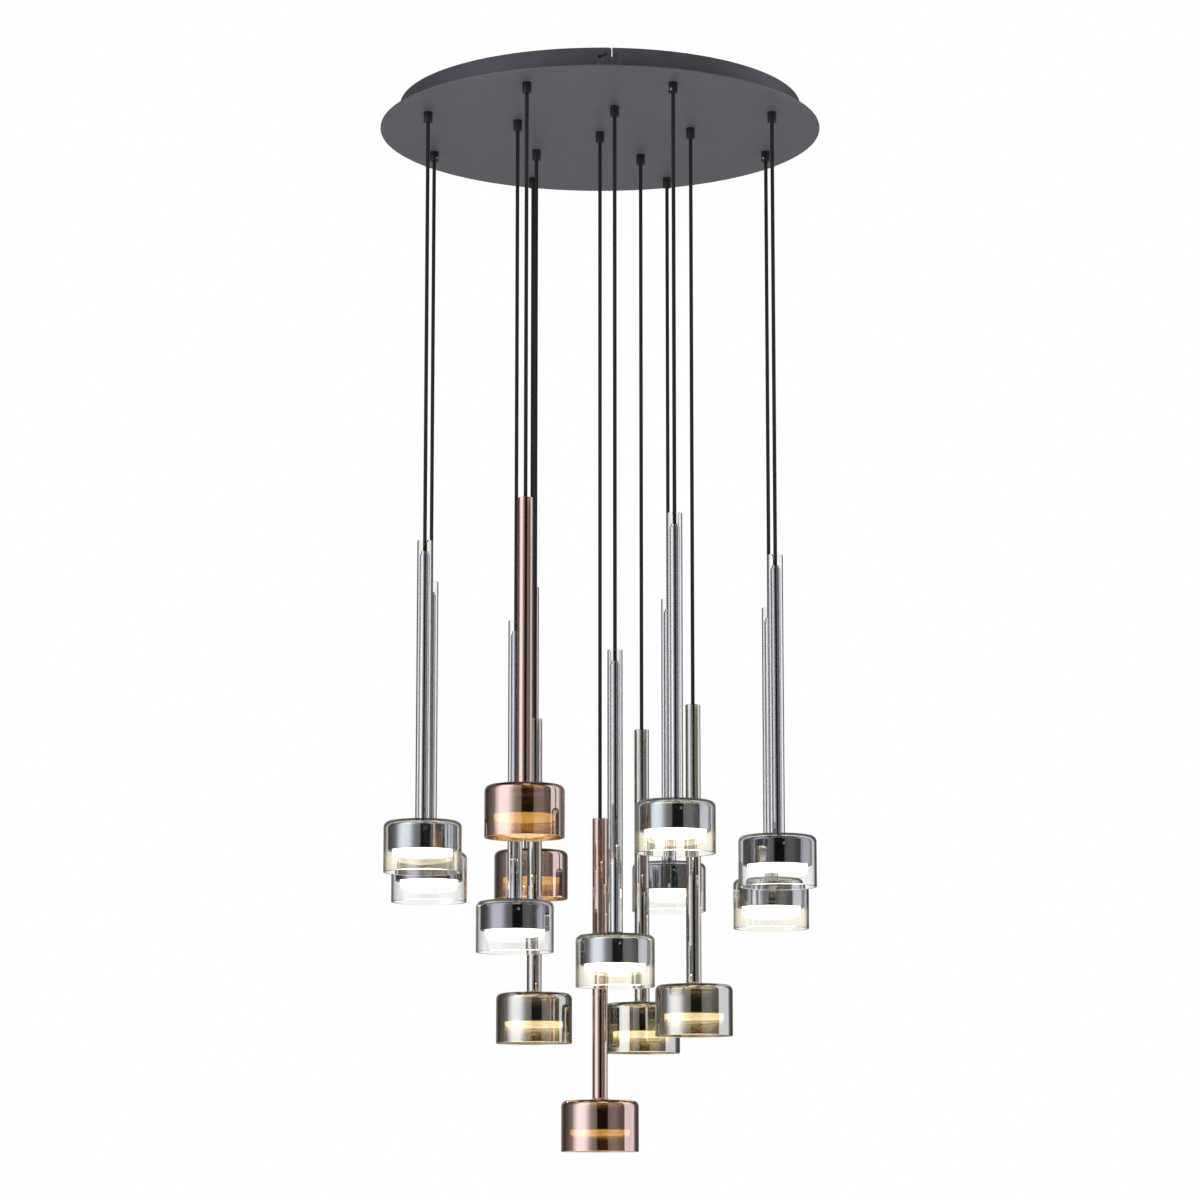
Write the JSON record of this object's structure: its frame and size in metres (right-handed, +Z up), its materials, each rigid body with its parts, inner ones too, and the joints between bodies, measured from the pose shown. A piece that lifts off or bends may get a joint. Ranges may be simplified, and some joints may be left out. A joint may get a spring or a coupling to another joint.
{
  "type": "cluster pendant light",
  "caption": "Round ceiling canopy with a cluster of glass pendants on straight cords: slender glass tubes that open into short round shades with a lit diffuser inside.",
  "frame": {"origin": "on the ceiling, at the centre of the bracket's four bolt holes", "axes": "+Z up into the ceiling, the pendants hang towards -Z, the picture looks along +Y"},
  "size_m": [0.5999, 0.6, 1.415],
  "materials": {
    "canopy_paint": "satin anthracite powder coat on aluminium",
    "zinc_steel": "zinc plated",
    "black_steel": "black oxide",
    "grip_black": "satin black",
    "driver_case": "matt white moulding",
    "terminal_plastic": "moulded nylon",
    "brass_nut": "plain brass",
    "cord_black": "black sheath",
    "glass_clear": "clear blown glass",
    "glass_champagne": "champagne tinted blown glass",
    "glass_smoke": "smoke glass with a mirror coat",
    "glass_copper": "copper glass with a mirror coat",
    "polished_metal": "polished and plated",
    "black_chrome": "polished, dark plated",
    "opal_diffuser": "opal, lit from behind"
  },
  "bodies": {
    "canopy": {"canopy_plate": "canopy_paint", "canopy_ring": "canopy_paint", "ceiling_bracket": "zinc_steel", "lock_screws": "black_steel", "cord_grips": "grip_black", "grip_nuts": "zinc_steel", "led_driver_front": "driver_case", "led_driver_back": "driver_case", "driver_screws": "zinc_steel", "terminal_block": "terminal_plastic", "cable_clamp": "terminal_plastic", "earth_terminal": "brass_nut"},
    "swing_01": {"cord_01": "cord_black"},
    "pendant_01": {"glass_01": "glass_copper", "lamp_01": "polished_metal"},
    "swing_02": {"cord_02": "cord_black"},
    "pendant_02": {"glass_02": "glass_smoke", "lamp_02": "polished_metal"},
    "swing_03": {"cord_03": "cord_black"},
    "pendant_03": {"glass_03": "glass_smoke", "lamp_03": "polished_metal"},
    "swing_04": {"cord_04": "cord_black"},
    "pendant_04": {"glass_04": "glass_smoke", "lamp_04": "polished_metal"},
    "swing_05": {"cord_05": "cord_black"},
    "pendant_05": {"glass_05": "glass_clear", "lamp_05": "black_chrome"},
    "swing_06": {"cord_06": "cord_black"},
    "pendant_06": {"glass_06": "glass_champagne", "lamp_06": "polished_metal"},
    "swing_07": {"cord_07": "cord_black"},
    "pendant_07": {"glass_07": "glass_champagne", "lamp_07": "polished_metal"},
    "swing_08": {"cord_08": "cord_black"},
    "pendant_08": {"glass_08": "glass_clear", "lamp_08": "black_chrome"},
    "swing_09": {"cord_09": "cord_black"},
    "pendant_09": {"glass_09": "glass_copper", "lamp_09": "polished_metal"},
    "swing_10": {"cord_10": "cord_black"},
    "pendant_10": {"glass_10": "glass_clear", "lamp_10": "black_chrome"},
    "swing_11": {"cord_11": "cord_black"},
    "pendant_11": {"glass_11": "glass_champagne", "lamp_11": "polished_metal"},
    "swing_12": {"cord_12": "cord_black"},
    "pendant_12": {"glass_12": "glass_copper", "lamp_12": "polished_metal"},
    "swing_13": {"cord_13": "cord_black"},
    "pendant_13": {"glass_13": "glass_champagne", "lamp_13": "polished_metal"},
    "swing_14": {"cord_14": "cord_black"},
    "pendant_14": {"glass_14": "glass_clear", "lamp_14": "black_chrome"}
  },
  "joints": [
    {"name": "swing_01_hinge", "type": "hinge", "parent": "canopy", "child": "swing_01", "pos_m": [0, 0, -0.048], "axis": [1, 0, 0], "range_deg": [-2, 2]},
    {"name": "height_01_slide", "type": "slide", "parent": "swing_01", "child": "pendant_01", "axis": [0, 0, 1], "range_m": [0, 0.25], "deforming": ["cord_01"]},
    {"name": "swing_02_hinge", "type": "hinge", "parent": "canopy", "child": "swing_02", "pos_m": [0.12346, -0.01955, -0.048], "axis": [1, 0, 0], "range_deg": [-2, 2]},
    {"name": "height_02_slide", "type": "slide", "parent": "swing_02", "child": "pendant_02", "axis": [0, 0, 1], "range_m": [0, 0.25], "deforming": ["cord_02"]},
    {"name": "swing_03_hinge", "type": "hinge", "parent": "canopy", "child": "swing_03", "pos_m": [0.05675, 0.11138, -0.048], "axis": [1, 0, 0], "range_deg": [-2, 2]},
    {"name": "height_03_slide", "type": "slide", "parent": "swing_03", "child": "pendant_03", "axis": [0, 0, 1], "range_m": [0, 0.25], "deforming": ["cord_03"]},
    {"name": "swing_04_hinge", "type": "hinge", "parent": "canopy", "child": "swing_04", "pos_m": [-0.08839, 0.08839, -0.048], "axis": [1, 0, 0], "range_deg": [-2, 2]},
    {"name": "height_04_slide", "type": "slide", "parent": "swing_04", "child": "pendant_04", "axis": [0, 0, 1], "range_m": [0, 0.25], "deforming": ["cord_04"]},
    {"name": "swing_05_hinge", "type": "hinge", "parent": "canopy", "child": "swing_05", "pos_m": [-0.11138, -0.05675, -0.048], "axis": [1, 0, 0], "range_deg": [-2, 2]},
    {"name": "height_05_slide", "type": "slide", "parent": "swing_05", "child": "pendant_05", "axis": [0, 0, 1], "range_m": [0, 0.25], "deforming": ["cord_05"]},
    {"name": "swing_06_hinge", "type": "hinge", "parent": "canopy", "child": "swing_06", "pos_m": [0.01955, -0.12346, -0.048], "axis": [1, 0, 0], "range_deg": [-2, 2]},
    {"name": "height_06_slide", "type": "slide", "parent": "swing_06", "child": "pendant_06", "axis": [0, 0, 1], "range_m": [0, 0.25], "deforming": ["cord_06"]},
    {"name": "swing_07_hinge", "type": "hinge", "parent": "canopy", "child": "swing_07", "pos_m": [0.23097, 0.09567, -0.048], "axis": [1, 0, 0], "range_deg": [-2, 2]},
    {"name": "height_07_slide", "type": "slide", "parent": "swing_07", "child": "pendant_07", "axis": [0, 0, 1], "range_m": [0, 0.25], "deforming": ["cord_07"]},
    {"name": "swing_08_hinge", "type": "hinge", "parent": "canopy", "child": "swing_08", "pos_m": [0.09567, 0.23097, -0.048], "axis": [1, 0, 0], "range_deg": [-2, 2]},
    {"name": "height_08_slide", "type": "slide", "parent": "swing_08", "child": "pendant_08", "axis": [0, 0, 1], "range_m": [0, 0.25], "deforming": ["cord_08"]},
    {"name": "swing_09_hinge", "type": "hinge", "parent": "canopy", "child": "swing_09", "pos_m": [-0.09567, 0.23097, -0.048], "axis": [1, 0, 0], "range_deg": [-2, 2]},
    {"name": "height_09_slide", "type": "slide", "parent": "swing_09", "child": "pendant_09", "axis": [0, 0, 1], "range_m": [0, 0.25], "deforming": ["cord_09"]},
    {"name": "swing_10_hinge", "type": "hinge", "parent": "canopy", "child": "swing_10", "pos_m": [-0.23097, 0.09567, -0.048], "axis": [1, 0, 0], "range_deg": [-2, 2]},
    {"name": "height_10_slide", "type": "slide", "parent": "swing_10", "child": "pendant_10", "axis": [0, 0, 1], "range_m": [0, 0.25], "deforming": ["cord_10"]},
    {"name": "swing_11_hinge", "type": "hinge", "parent": "canopy", "child": "swing_11", "pos_m": [-0.23097, -0.09567, -0.048], "axis": [1, 0, 0], "range_deg": [-2, 2]},
    {"name": "height_11_slide", "type": "slide", "parent": "swing_11", "child": "pendant_11", "axis": [0, 0, 1], "range_m": [0, 0.25], "deforming": ["cord_11"]},
    {"name": "swing_12_hinge", "type": "hinge", "parent": "canopy", "child": "swing_12", "pos_m": [-0.09567, -0.23097, -0.048], "axis": [1, 0, 0], "range_deg": [-2, 2]},
    {"name": "height_12_slide", "type": "slide", "parent": "swing_12", "child": "pendant_12", "axis": [0, 0, 1], "range_m": [0, 0.25], "deforming": ["cord_12"]},
    {"name": "swing_13_hinge", "type": "hinge", "parent": "canopy", "child": "swing_13", "pos_m": [0.09567, -0.23097, -0.048], "axis": [1, 0, 0], "range_deg": [-2, 2]},
    {"name": "height_13_slide", "type": "slide", "parent": "swing_13", "child": "pendant_13", "axis": [0, 0, 1], "range_m": [0, 0.25], "deforming": ["cord_13"]},
    {"name": "swing_14_hinge", "type": "hinge", "parent": "canopy", "child": "swing_14", "pos_m": [0.23097, -0.09567, -0.048], "axis": [1, 0, 0], "range_deg": [-2, 2]},
    {"name": "height_14_slide", "type": "slide", "parent": "swing_14", "child": "pendant_14", "axis": [0, 0, 1], "range_m": [0, 0.25], "deforming": ["cord_14"]}
  ]
}
